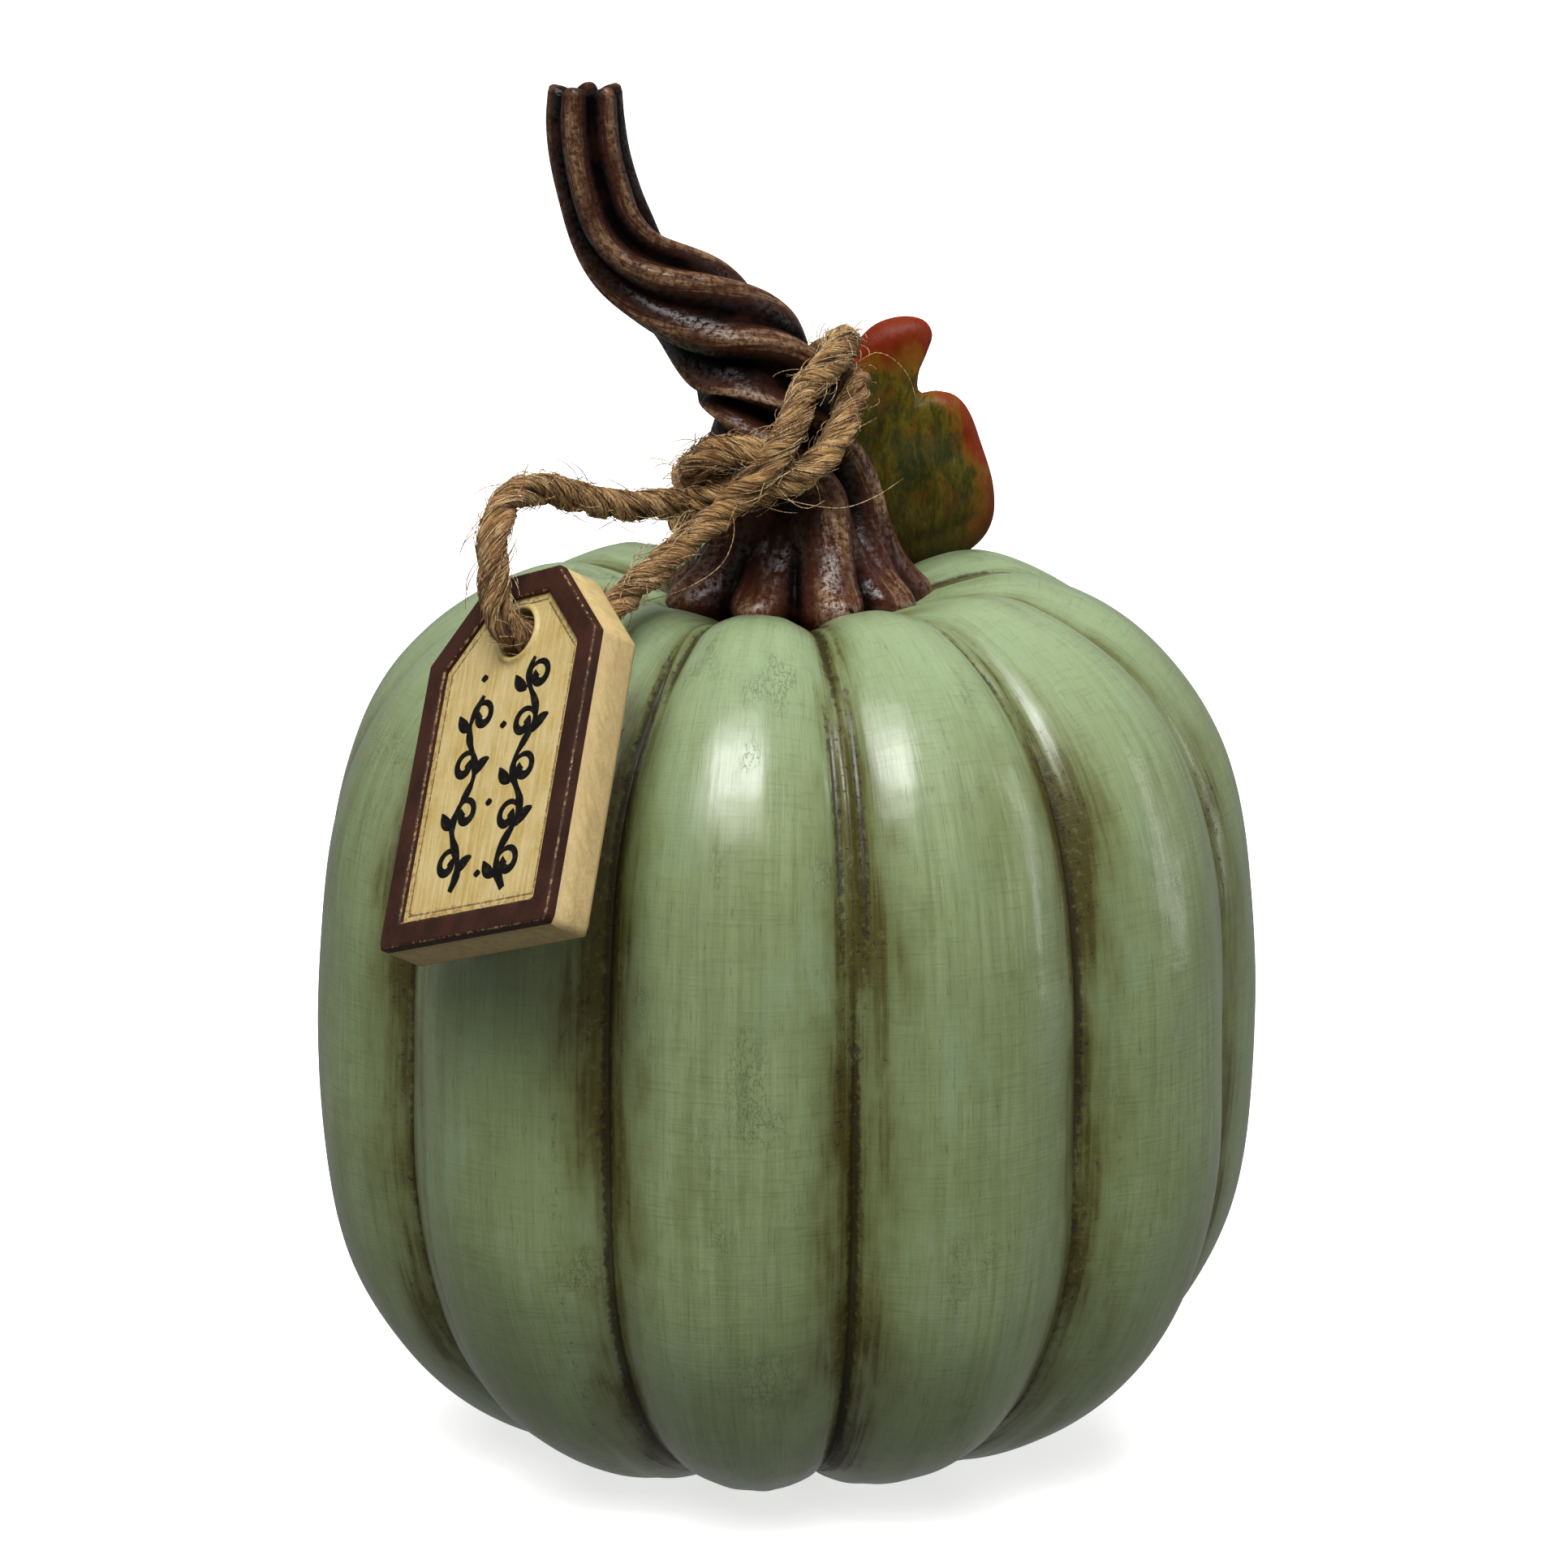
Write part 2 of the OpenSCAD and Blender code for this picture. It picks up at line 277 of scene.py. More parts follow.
def glazed_sage():
    """Sage green brushed on down the lobes, with a dark wash rubbed into the grooves, and a satin coat."""
    f = Finish("glazed_sage", Coat_Roughness=0.21, Specular_IOR_Level=0.25)
    brush = f.attribute("brush", "Vector")
    groove = f.attribute("groove")
    crease = f.attribute("crease")
    place = f.place()
    height = f.part(place, "Z")
    flat_place = f.stretch(place, 1, 1, 0)
    from_axis = f.add("ShaderNodeVectorMath", {0: flat_place}, "Value", operation="LENGTH")
    streak = f.noise(f.stretch(brush, 1, 1, 0.045), 1.3, 6, 0.62)
    fine_streak = f.noise(f.stretch(brush, 1, 1, 0.05), 5.5, 3, 0.6)
    dash = f.noise(f.stretch(brush, 1, 1, 0.16), 3.2, 4, 0.7)
    weave = f.noise(f.stretch(brush, 0.07, 0.07, 1), 3.4, 4, 0.6)
    cloud = f.noise(place, 0.055, 3, 0.5)
    patch = f.noise(f.stretch(brush, 1, 1, 0.35), 0.16, 4, 0.6)
    speck = f.noise(place, 1.4, 5, 0.65)

    colour = f.layers(
        (0.15, 0.196, 0.079),
        (streak, 0.25, 0.72, 1, (0.232, 0.292, 0.138)),
        (cloud, 0.35, 0.68, 0.6, (0.145, 0.184, 0.07)),
        (patch, 0.53, 0.68, 0.5, (0.128, 0.148, 0.045)),
        (patch, 0.47, 0.32, 0.5, (0.2, 0.275, 0.155)),
        # Painted light: paler towards the crown, where the lobes face up to the lamps
        (height, 66, 80, 0.55, (0.24, 0.325, 0.18)),
    )
    strokes = f.times(f.between(weave, 0.5, 0.68), f.between(patch, 0.36, 0.6, 0.08, 0.28))
    colour = f.layers(
        f.mix(strokes, colour, (0.096, 0.12, 0.046)),
        (fine_streak, 0.56, 0.74, 0.36, (0.08, 0.096, 0.036)),
        (fine_streak, 0.44, 0.28, 0.22, (0.29, 0.34, 0.2)),
        (dash, 0.58, 0.72, 0.45, (0.062, 0.07, 0.026)),
    )

    # The wash reaches out of the grooves unevenly. It is narrower low down and on the shoulders, and the
    # crown is darker round the stem.
    reach = f.plus(groove, f.between(streak, 0.3, 0.7, -0.1, 0.1))
    reach = f.plus(reach, f.between(patch, 0.3, 0.7, -0.14, 0.14))
    reach = f.plus(reach, f.between(height, 60, 30, 0, -0.07))
    reach = f.plus(reach, f.between(height, 62, 76, 0, -0.12))
    reach = f.plus(reach, f.between(from_axis, 20, 12, 0, 0.3))
    colour = f.layers(colour, (reach, 0.46, 0.9, 0.75, (0.085, 0.086, 0.014)))
    wash = f.between(reach, 0.74, 1, 0, 0.88)
    colour = f.mix(wash, colour, (0.043, 0.034, 0.003))
    mottle = f.times(f.between(speck, 0.44, 0.34), f.between(reach, 0.74, 0.95, 0, 0.35))
    colour = f.mix(mottle, colour, (0.15, 0.145, 0.06))
    dark = f.plus(crease, f.between(speck, 0.3, 0.7, -0.22, 0.22))
    colour = f.layers(colour, (dark, 0.45, 0.85, 0.8, (0.02, 0.014, 0.004)))
    # Patches of fine scratches, and specks worn out of the wash
    scuffed = f.between(f.noise(f.stretch(brush, 1, 1, 0.6), 0.13, 2), 0.61, 0.73)
    scratch = f.noise(f.stretch(brush, 1, 1, 0.55), 1.5, 4, 0.75)
    scratch = f.math("ABSOLUTE", f.math("SUBTRACT", scratch, 0.5))
    scuff = f.times(f.between(scratch, 0.018, 0.006, 0, 0.4), scuffed)
    worn = f.times(f.between(speck, 0.58, 0.68, 0, 0.75), f.between(reach, 0.7, 0.95))
    worn = f.math("MAXIMUM", worn, scuff)
    colour = f.mix(worn, colour, (0.03, 0.021, 0.007))

    glaze = f.relief((f.noise(place, 0.16, 2), 0.22), (streak, 0.03))
    relief = f.relief((fine_streak, 0.05), (weave, 0.035), (worn, -0.06), under=glaze)
    f.fill(Coat_Weight=f.math("SUBTRACT", 0.85, f.times(wash, 0.85)))
    f.fill(Coat_Normal=f.relief((worn, -0.05), under=glaze))
    return f.fill(Base_Color=colour, Normal=relief, Roughness=f.between(streak, 0.3, 0.7, 0.42, 0.54))


def painted_bark():
    """Chocolate brown with tan dry-brushed along the ridges, redder and shinier at the root."""
    f = Finish("painted_bark", Specular_IOR_Level=0.04, Coat_Roughness=0.14)
    grain = f.attribute("grain", "Vector")
    ridge = f.attribute("ridge")
    place = f.place()
    root = f.between(f.part(place, "Z"), 90, 81)
    fibre = f.noise(f.stretch(grain, 1, 1, 0.09), 2.6, 6, 0.7)
    speck = f.noise(place, 1.9, 6, 0.72)
    cloud = f.noise(place, 0.22, 3)

    colour = f.layers(
        (0.0015, 0.0005, 0.0003),
        (ridge, 0.35, 0.95, 1, (0.046, 0.013, 0.006)),
        (cloud, 0.45, 0.62, 0.5, (0.03, 0.009, 0.004)),
    )
    colour = f.mix(f.times(root, f.between(ridge, 0.2, 0.8)), colour, (0.055, 0.014, 0.006))
    high = f.plus(f.times(ridge, 0.85), f.between(fibre, 0.32, 0.68, 0, 0.3))
    brushed = f.times(f.between(high, 0.78, 1.08), f.between(speck, 0.4, 0.58, 0.2, 1))
    brushed = f.times(brushed, f.between(cloud, 0.36, 0.58, 0.3, 1))
    brushed = f.times(brushed, f.math("SUBTRACT", 1, f.times(root, 0.15)))
    colour = f.mix(brushed, colour, (0.3, 0.175, 0.088))
    spots = f.between(f.noise(place, 1.1, 2), 0.69, 0.74)
    colour = f.mix(spots, colour, (0.004, 0.002, 0.001))

    relief = f.relief((fibre, 0.3), (speck, 0.2), (spots, -0.15))
    shine = f.times(f.between(ridge, 0.05, 0.5), f.between(speck, 0.42, 0.54))
    shine = f.times(shine, f.plus(0.6, f.times(root, 0.4)))
    f.fill(Coat_Weight=shine, Coat_Normal=f.relief((speck, 0.06), (cloud, 0.5)))
    return f.fill(Base_Color=colour, Normal=relief, Roughness=f.between(speck, 0.3, 0.7, 0.4, 0.6))


def painted_leaf():
    """Olive, mustard, rust and dark teal dabbed together, red at the edges and dark at the foot."""
    f = Finish("painted_leaf", Specular_IOR_Level=0.06, Coat_Weight=0.2, Coat_Roughness=0.15)
    edge = f.attribute("edge")
    tip = f.attribute("tip")
    vein = f.attribute("vein")
    place = f.place()
    dab = f.noise(f.stretch(place, 1.5, 1, 0.6), 0.6, 6, 0.68, 0.8)
    patch = f.noise(place, 0.2, 3, 0.5)
    rust = f.noise(f.stretch(place, 1.4, 1, 0.7), 0.42, 5, 0.7)
    speck = f.noise(f.stretch(place, 1.8, 1, 0.5), 2.4, 4, 0.62)

    colour = f.layers(
        (0.032, 0.032, 0.004),
        (dab, 0.34, 0.68, 1, (0.108, 0.079, 0.006)),
        (patch, 0.5, 0.64, 0.6, (0.02, 0.03, 0.012)),
        (rust, 0.52, 0.66, 0.6, (0.115, 0.042, 0.005)),
        (speck, 0.52, 0.7, 0.45, (0.012, 0.011, 0.002)),
        (speck, 0.44, 0.3, 0.4, (0.16, 0.105, 0.012)),
    )
    uneven = f.plus(f.between(dab, 0.3, 0.7, -0.2, 0.2), f.between(patch, 0.3, 0.7, -0.25, 0.25))
    warm = f.plus(f.plus(edge, tip), uneven)
    colour = f.layers(
        colour,
        (warm, 0.18, 0.7, 0.85, (0.17, 0.062, 0.005)),
        (warm, 0.55, 1.1, 0.95, (0.15, 0.014, 0.0025)),
    )
    colour = f.mix(f.times(vein, 0.5), colour, (0.016, 0.011, 0.002))
    colour = f.layers(colour, (f.part(place, "Z"), 92, 80, 0.75, (0.013, 0.01, 0.002)))

    relief = f.relief((dab, 0.2), (speck, 0.07))
    f.fill(Base_Color=colour, Roughness=f.between(dab, 0.3, 0.7, 0.38, 0.52))
    return f.fill(Normal=relief, Coat_Normal=relief)


def jute(name, dark, light):
    """Dry plant fibre, streaked along each ply, with painted shade where the plies meet."""
    f = Finish(name, Roughness=0.8, Specular_IOR_Level=0.2, Sheen_Weight=0.06, Sheen_Roughness=0.5)
    fibre = f.attribute("fibre", "Vector")
    ply = f.attribute("ply")
    strand = f.noise(f.stretch(fibre, 1, 1, 0.12), 3.2, 5, 0.65)
    length = f.noise(f.stretch(fibre, 0.3, 0.3, 1), 0.35, 3)
    hair = f.noise(f.stretch(fibre, 1, 1, 0.07), 9, 3, 0.6)
    colour = f.layers(
        dark,
        (strand, 0.38, 0.62, 1, light),
        (length, 0.42, 0.6, 0.7, (0.19, 0.078, 0.02)),
        (hair, 0.53, 0.64, 0.85, (0.7, 0.5, 0.26)),
        (hair, 0.47, 0.36, 0.8, (0.03, 0.011, 0.004)),
        # Painted shade: darker on the inner side of each ply, where the plies press together
        (ply, 0.75, 0.15, 0.95, (0.014, 0.005, 0.002)),
    )
    return f.fill(Base_Color=colour, Normal=f.relief((strand, 0.45), (hair, 0.2)))


def sawn_wood():
    """Tan paint over wood, with the grain just showing and dirt towards the edges."""
    f = Finish("tag_side_paint", Roughness=0.6)
    place = f.place()
    grain = f.noise(f.stretch(place, 1, 1, 0.25), 1.3, 6, 0.65)
    speck = f.noise(place, 2.6, 5, 0.7)
    colour = f.layers(
        (0.37, 0.265, 0.105),
        (grain, 0.3, 0.7, 1, (0.5, 0.375, 0.165)),
        (speck, 0.58, 0.72, 0.55, (0.35, 0.22, 0.08)),
    )
    rubbed = f.times(f.attribute("worn"), f.between(grain, 0.35, 0.6, 0.15, 0.7))
    colour = f.mix(rubbed, colour, (0.26, 0.15, 0.06))
    return f.fill(Base_Color=colour, Normal=f.relief((grain, 0.14), (speck, 0.06)))


def border_paint():
    """Dark brown paint, rubbed through in specks at its edges."""
    f = Finish("tag_border_paint", Specular_IOR_Level=0.16)
    place = f.place()
    worn = f.attribute("worn")
    speck = f.noise(place, 2.2, 5, 0.7)
    cloud = f.noise(place, 0.3, 3)
    colour = f.mix(f.between(cloud, 0.35, 0.65), (0.024, 0.0085, 0.004), (0.042, 0.014, 0.008))
    rubbed = f.between(f.plus(worn, speck), 1.2, 1.4, 0, 0.7)
    colour = f.mix(rubbed, colour, (0.42, 0.27, 0.12))
    relief = f.relief((speck, 0.08))
    return f.fill(Base_Color=colour, Normal=relief, Roughness=f.between(speck, 0.3, 0.7, 0.42, 0.6))


# A brown line painted round the label: how far in from its edge, and how wide
HAIRLINE_IN = 0.62
HAIRLINE_W = 0.18


def antique_cream():
    """Cream and yellow, brushed lengthwise, with a brown hairline and rubbed dirt round its edge."""
    f = Finish("tag_label_paint", Roughness=0.5, Coat_Weight=0.15, Coat_Roughness=0.3)
    along = f.attribute("along", "Vector")
    edge = f.attribute("edge")
    streak = f.noise(f.stretch(along, 1, 0.07, 1), 2.4, 6, 0.65)
    cloud = f.noise(along, 0.28, 4, 0.6)
    speck = f.noise(along, 2.6, 5, 0.7)
    colour = f.layers(
        (0.5, 0.38, 0.155),
        (cloud, 0.36, 0.64, 1, (0.42, 0.295, 0.08)),
        (streak, 0.4, 0.68, 0.6, (0.59, 0.48, 0.25)),
        (streak, 0.42, 0.3, 0.5, (0.36, 0.24, 0.07)),
    )
    dirt = f.plus(f.between(edge, 1.8, 0, 0, 0.4), f.between(speck, 0.4, 0.75, 0, 0.55))
    colour = f.layers(colour, (dirt, 0.42, 0.7, 0.75, (0.24, 0.14, 0.03)))
    hairline = f.math("COMPARE", edge, HAIRLINE_IN, HAIRLINE_W / 2)
    hairline = f.times(hairline, f.between(speck, 0.36, 0.48))
    colour = f.mix(f.times(hairline, 0.85), colour, (0.12, 0.06, 0.02))
    relief = f.relief((streak, 0.1), (speck, 0.05))
    return f.fill(Base_Color=colour, Normal=relief, Roughness=f.between(cloud, 0.3, 0.7, 0.42, 0.58))


def brush_black():
    """Black brush paint, a little uneven and greyer where it is thin."""
    f = Finish("tag_motif_paint", Specular_IOR_Level=0.1)
    place = f.place()
    thin = f.noise(place, 1.8, 4, 0.6)
    colour = f.mix(f.between(thin, 0.5, 0.72), (0.004, 0.0035, 0.003), (0.018, 0.013, 0.009))
    relief = f.relief((thin, 0.06))
    return f.fill(Base_Color=colour, Normal=relief, Roughness=f.between(thin, 0.3, 0.7, 0.32, 0.55))


def bare_clay():
    """Unglazed clay inside the vent."""
    f = Finish("bare_clay", Roughness=0.9)
    grit = f.noise(f.place(), 2.0, 5, 0.7)
    colour = f.mix(f.between(grit, 0.3, 0.7), (0.42, 0.38, 0.32), (0.6, 0.56, 0.49))
    return f.fill(Base_Color=colour, Normal=f.relief((grit, 0.15)))


# ---- line of the stem

# Middle of the stem and its radius over the ridges: [x, height, radius] from the seat to the tip
STEM_ROUTE = [
    [1.2, 76.5, 12.4], [1.2, 78, 13], [1.25, 79.9, 13.1], [1.3, 81.2, 12.6], [1.3, 82.5, 11.2],
    [1.3, 84.4, 9.8], [1.1, 87, 8.6], [0.7, 90, 7.9], [0.1, 93, 7.2], [-1.2, 97.5, 6.6], [-2.6, 101, 6.1],
    [-4.9, 103.5, 5.7], [-8, 106.1, 5.1], [-11, 108.3, 4.6], [-13.6, 110.8, 4.3], [-15.4, 113.8, 4.2],
    [-16.5, 117, 4.1], [-17.2, 120, 4], [-17.5, 123, 3.9], [-17.5, 125.5, 3.7],
]
stem_line = smooth_line(STEM_ROUTE, 0.22)


def stem_at(height):
    """Middle x and radius of the stem at a height."""
    return read_off(height, stem_line[:, 1], stem_line[:, [0, 2]])


# ---- twine

TWINE_D = 3
PLIES = 3
# Radius of one ply, and how far its middle is from the middle of the twine
PLY_R = 0.8
PLY_OFF = 0.6
# Length of twine in which a ply goes once round
LAY_PITCH = 12.5
ROPE_STEP = 0.35
ROPE_SIDES = 14
FIBRE_T = 0.1
# Gap between the stem and a turn of twine, and degrees between the points of a turn
TURN_GAP = 0.1
TURN_STEP = 14

# From the knot over and down into the hole of the tag
FRONT_ROUTE = [
    [-8.5, -9.8, 90.5], [-11.3, -12, 90.3], [-14.5, -14.5, 90.7], [-17.8, -17.5, 91.9],
    [-20.4, -20.5, 93.1], [-22.5, -23.5, 93.4], [-24, -26.3, 92.5], [-24.7, -28.5, 90.7],
    [-24.8, -30, 88.6], [-24.6, -31, 86.3], [-24.4, -31.5, 84.7], [-23.9, -31.6, 83.5], [-23.4, -31.3, 83],
]
# A point inside the hole
HOLE_ROUTE = [[-21.4, -29.8, 81.6]]
# From the back of the hole up to the knot
BACK_ROUTE = [
    [-19.2, -28.1, 80.2], [-18.2, -27.3, 79.9], [-16.6, -26.2, 81], [-14.8, -25, 83.2],
    [-12.9, -22, 84.8], [-10.7, -19, 86.3], [-8.4, -16.4, 87.9], [-5.6, -14.6, 89.9],
]
# Over the front of the knot to the upper turn
CROSS_ROUTE = [[-3.4, -13.9, 91.9], [-1.4, -13, 94], [0.1, -11.2, 96.1], [1, -9.3, 97.8]]
# The end of the upper turn, laid over the knot as an arch
ARCH_ROUTE = [
    [-8, -8.4, 92.2], [-8, -10.6, 93.2], [-7.2, -12, 94.5], [-5.2, -12.6, 95.3], [-2.9, -12.2, 95.1],
    [-1.2, -11, 94.2], [-0.6, -9.6, 93],
]
# The lower turn, from inside the knot out to the right-hand side of the stem
LOW_ROUTE = [
    [-8.4, -9.2, 90.4], [-7, -11, 90.9], [-4.5, -11.9, 91.3], [-1.3, -11.7, 91.9], [1.9, -10.3, 93],
    [3.9, -8.4, 94.4], [5.2, -6, 96.2], [6.2, -3, 98.4],
]


def turn(middle, rise, first, last):
    """Points of a turn of twine round the stem, between two angles from the front towards the right."""
    off = TWINE_D / 2 + TURN_GAP
    points = []
    for degree in range(first, last, TURN_STEP):
        w = radians(degree)
        z = middle + rise * sin(w)
        x, radius = stem_at(z)
        slope = (stem_at(z + 1)[0] - stem_at(z - 1)[0]) / 2
        across = radius * hypot(1, slope) + off
        points.append([x + across * sin(w), -(radius + off) * cos(w), z])
    return points


def rope_rings(line, seed):
    """Rings of every ply of a twisted rope, as points [station, ply, side, 3].

    With them come each point's place along the fibres of its ply, and how far out of the twist it is.
    """
    _, side, up = frames(line)
    run = run_along(line)
    a = circle(ROPE_SIDES)[None, :]
    points = np.empty((len(line), PLIES, ROPE_SIDES, 3))
    fibre = np.empty_like(points)
    outer = np.empty(points.shape[:3])
    for ply in range(PLIES):
        w = tau * (run / LAY_PITCH + ply / PLIES) + 0.35 * np.sin(run * 0.9 + ply + seed)
        out = spoke(side, up, w)
        middle = line + PLY_OFF * out
        along = unit(np.gradient(middle, axis=0))
        out = unit(out - along * (out * along).sum(1, keepdims=True))
        third = np.cross(along, out)
        spin = a - run[:, None] * 0.5
        uneven = 0.07 * np.cos(5 * spin + ply) + 0.05 * np.cos(8 * spin + run[:, None] * 0.7 + seed)
        thick = 1 + 0.08 * np.sin(run[:, None] * 0.83 + 2 * ply + seed)
        radius = PLY_R * thick * (1 + uneven)
        points[:, ply] = middle[:, None] + radius[..., None] * spoke(out[:, None], third[:, None], a)
        turned = [PLY_R * np.cos(spin) + 3 * ply, PLY_R * np.sin(spin) + seed, run[:, None] + 0 * a]
        fibre[:, ply] = np.stack(turned, -1)
        outer[:, ply] = 0.5 + 0.5 * np.cos(a)
    return points, fibre, outer


def rope_piece(name, rings, finish, first, last, body):
    """The stations first to last of a rope, as one piece with its ends closed."""
    points, fibre, outer = (np.moveaxis(part[first:last], 1, 0) for part in rings)
    stations = last - first
    faces = []
    for ply in range(PLIES):
        start = ply * stations * ROPE_SIDES
        end = start + (stations - 1) * ROPE_SIDES
        faces += ring_faces(stations, ROPE_SIDES, start)
        faces += [list(range(start + ROPE_SIDES - 1, start - 1, -1)), list(range(end, end + ROPE_SIDES))]
    points, fibre = points.reshape(-1, 3), fibre.reshape(-1, 3)
    return piece(name, points, faces, finish, body, "jute", fibre=fibre, ply=outer.ravel())


def hairs_piece(name, lines, finish, body):
    """Thin loose fibres, each tapering towards its ends."""
    sides = 4
    verts, faces = [], []
    for line in lines:
        _, side, up = frames(line)
        taper = 0.35 + 0.65 * np.sin(np.linspace(0.12, 1, len(line)) * pi * 0.97)
        ring = spoke(side[:, None], up[:, None], circle(sides)[None, :])
        faces += ring_faces(len(line), sides, len(verts))
        verts.extend((line[:, None] + FIBRE_T / 2 * taper[:, None, None] * ring).reshape(-1, 3))
    verts = np.array(verts)
    return piece(name, verts, faces, finish, body, "jute", fibre=verts * 0.6, ply=np.ones(len(verts)))


def stray_fibres(line, count, seed):
    """Short fibres that stand out of a rope along its line."""
    rng = np.random.default_rng(seed)
    along, side, up = frames(line)
    lines = []
    for _ in range(count):
        i = rng.integers(6, len(line) - 6)
        w = rng.uniform(0, tau)
        out = spoke(side[i], up[i], w)
        over = spoke(side[i], up[i], w + 1.4)
        way = along[i] * rng.choice([-1, 1])
        length = rng.uniform(1.2, 4.2)
        lift = rng.uniform(0.25, 1.0)
        u = np.linspace(0, 1, 7)[:, None]
        start = line[i] + out * (TWINE_D / 2 - 0.25)
        rise = out * lift * u * (1.1 - 0.75 * u)
        lines.append(start + length * (way * u * 0.85 + rise + over * 0.3 * u**2))
    return lines


def laid_fibres(line, count, seed):
    """Pale fibres that lie along the plies of a rope and lift a little at their ends."""
    rng = np.random.default_rng(seed)
    _, side, up = frames(line)
    run = run_along(line)
    lines = []
    for _ in range(count):
        length = rng.uniform(2.5, 7)
        start = rng.uniform(1, run[-1] - length - 1)
        at = start + np.linspace(0, 1, 9) * length
        off = rng.uniform(-0.8, 0.8)
        w = tau * (at / LAY_PITCH + rng.integers(0, PLIES) / PLIES) + off
        end_lift = (np.linspace(-1, 1, 9) * rng.choice([-1, 1])).clip(0, 1) ** 2 * rng.uniform(0, 0.5)
        out = (PLY_OFF + PLY_R) * (1 - 0.16 * off**2) + 0.03 + end_lift
        way = spoke(read_off(at, run, side), read_off(at, run, up), w)
        lines.append(read_off(at, run, line) + out[:, None] * way)
    return lines


jute_finish = jute("jute_twine", (0.085, 0.03, 0.007), (0.6, 0.34, 0.115))
hair_finish = jute("jute_loose_fibre", (0.3, 0.16, 0.05), (0.8, 0.6, 0.34))

# One length of twine: out of the knot, through the tag, back over the knot and round the stem
long_route = [[-6, -9, 91]] + FRONT_ROUTE + HOLE_ROUTE + BACK_ROUTE + CROSS_ROUTE
long_line = smooth_line(long_route + turn(97, 6.2, 28, 325) + ARCH_ROUTE, ROPE_STEP)
# The other end of it: out of the knot, round the stem lower down and back into the knot
low_route = LOW_ROUTE + turn(93.2, 6.4, 78, 310) + [[-8.2, -6.6, 89.6], [-6.6, -9.4, 91]]
low_line = smooth_line(low_route, ROPE_STEP)
# The station where the loop comes back to the knot
returns_at = int(np.argmin(np.linalg.norm(long_line - BACK_ROUTE[-1], axis=1)))

long_rings = rope_rings(long_line, 1)
loop_line = long_line[: returns_at + 1]
loop = rope_piece("twine_loop", long_rings, jute_finish, 0, returns_at + 1, None)
loop_fibres = stray_fibres(loop_line, 190, 5) + laid_fibres(loop_line, 260, 8)
loop_hairs = hairs_piece("twine_loop_fibres", loop_fibres, hair_finish, None)
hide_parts("twine_loop_front", "twine_bight", "twine_loop_back")

upper = rope_piece("twine_upper_turn", long_rings, jute_finish, returns_at, len(long_line), "root")
lower = rope_piece("twine_lower_turn", rope_rings(low_line, 4), jute_finish, 0, len(low_line), "root")
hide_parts("twine_turns", "twine_knot")

# Long fibres that hang out of the knot and the turns
LONG_HAIRS = [
    [[-1.5, -12.9, 91.4], [2.4, -13.2, 90.5], [5.4, -12.6, 90.2], [8.2, -11.2, 91], [10.6, -9.6, 92.3]],
    [[6.6, -2, 101.6], [8.2, -2.2, 102.5], [9.8, -2, 101.9], [11.2, -1.8, 100.3], [11.9, -1.6, 98.2]],
    [[-4.6, -15.6, 91], [-4.4, -17, 88.4], [-5.6, -18.4, 86], [-8.6, -19.4, 84.2], [-12.4, -20.6, 83.2]],
    [[-1, -13.2, 92.6], [0.8, -13.8, 90.8], [2.2, -13.6, 90.3], [3.6, -13, 90.9]],
    [[1.6, -10.6, 93.4], [2.9, -10.6, 91.8], [3.3, -10.4, 89.9]],
    [[-9.3, -10.6, 93.6], [-11.4, -11.4, 94.4], [-13.6, -12.4, 94.3]],
    [[6.8, -1, 100.8], [7.4, -2.6, 99.2], [7, -4.4, 97.8]],
]
knot_hairs = [smooth_line(points, 0.6) for points in LONG_HAIRS]
upper_line = long_line[returns_at:]
knot_hairs += stray_fibres(upper_line, 240, 6) + stray_fibres(low_line, 150, 7)
knot_hairs += laid_fibres(upper_line, 420, 9) + laid_fibres(low_line, 220, 10)
hairs_piece("twine_knot_fibres", knot_hairs, hair_finish, "root")


# ---- body

BODY_R = 43.8
BELLY_Z = 39
CROWN_H = 45
BASE_CUT = 1.2
BASE_R = 14
# The crown is dished round the stem
DISH_DEPTH = 7
DISH_R = 24
# Powers that set how round the outline is above and below the belly
CROWN_ROUND = 0.66
FOOT_ROUND = 0.77
GROOVE_DEPTH = 3.2
# Powers that set how the grooves fade towards the poles, and how round the lobes are between them
GROOVE_FADE = 0.72
LOBE_ROUND = 2.1
# Azimuths of the grooves, from the front towards the right-hand side
GROOVES = [-54, -22, 8.5, 39, 74, 107, 140, 173, 206, 240, 273]
LOBE_COLUMNS = 40
BODY_ROWS = 210
POLE = 88.5
# The rib down the middle of most grooves, and the crease on each side of it
RIB_HEIGHT = 0.75
RIB_W = 0.6
CREASE_DEPTH = 0.4
CREASE_W = 0.45
CREASE_OFF = 1.1
# A fainter crease further up the side of a lobe
FOLD_DEPTH = 0.22
FOLD_W = 0.8
FOLD_OFF = 4.2
SEAT_DIVE = 5
VENT_MIDDLE = [0, 5.5]
VENT_R = 1.5
WALL = 4


def crest(latitude):
    """Radius and height of a lobe's crest at each latitude."""
    s, c = np.sin(np.radians(latitude)), np.cos(np.radians(latitude))
    above = latitude > 0
    power = np.where(above, CROWN_ROUND, FOOT_ROUND)
    radius = BODY_R * np.abs(c) ** power
    half = np.where(above, CROWN_H, BELLY_Z + BASE_CUT)
    dish = np.where(above, DISH_DEPTH * np.clip(1 - (radius / DISH_R) ** 2, 0, None) ** 2, 0)
    return np.stack([radius, BELLY_Z + half * np.sign(s) * np.abs(s) ** power - dish], -1)


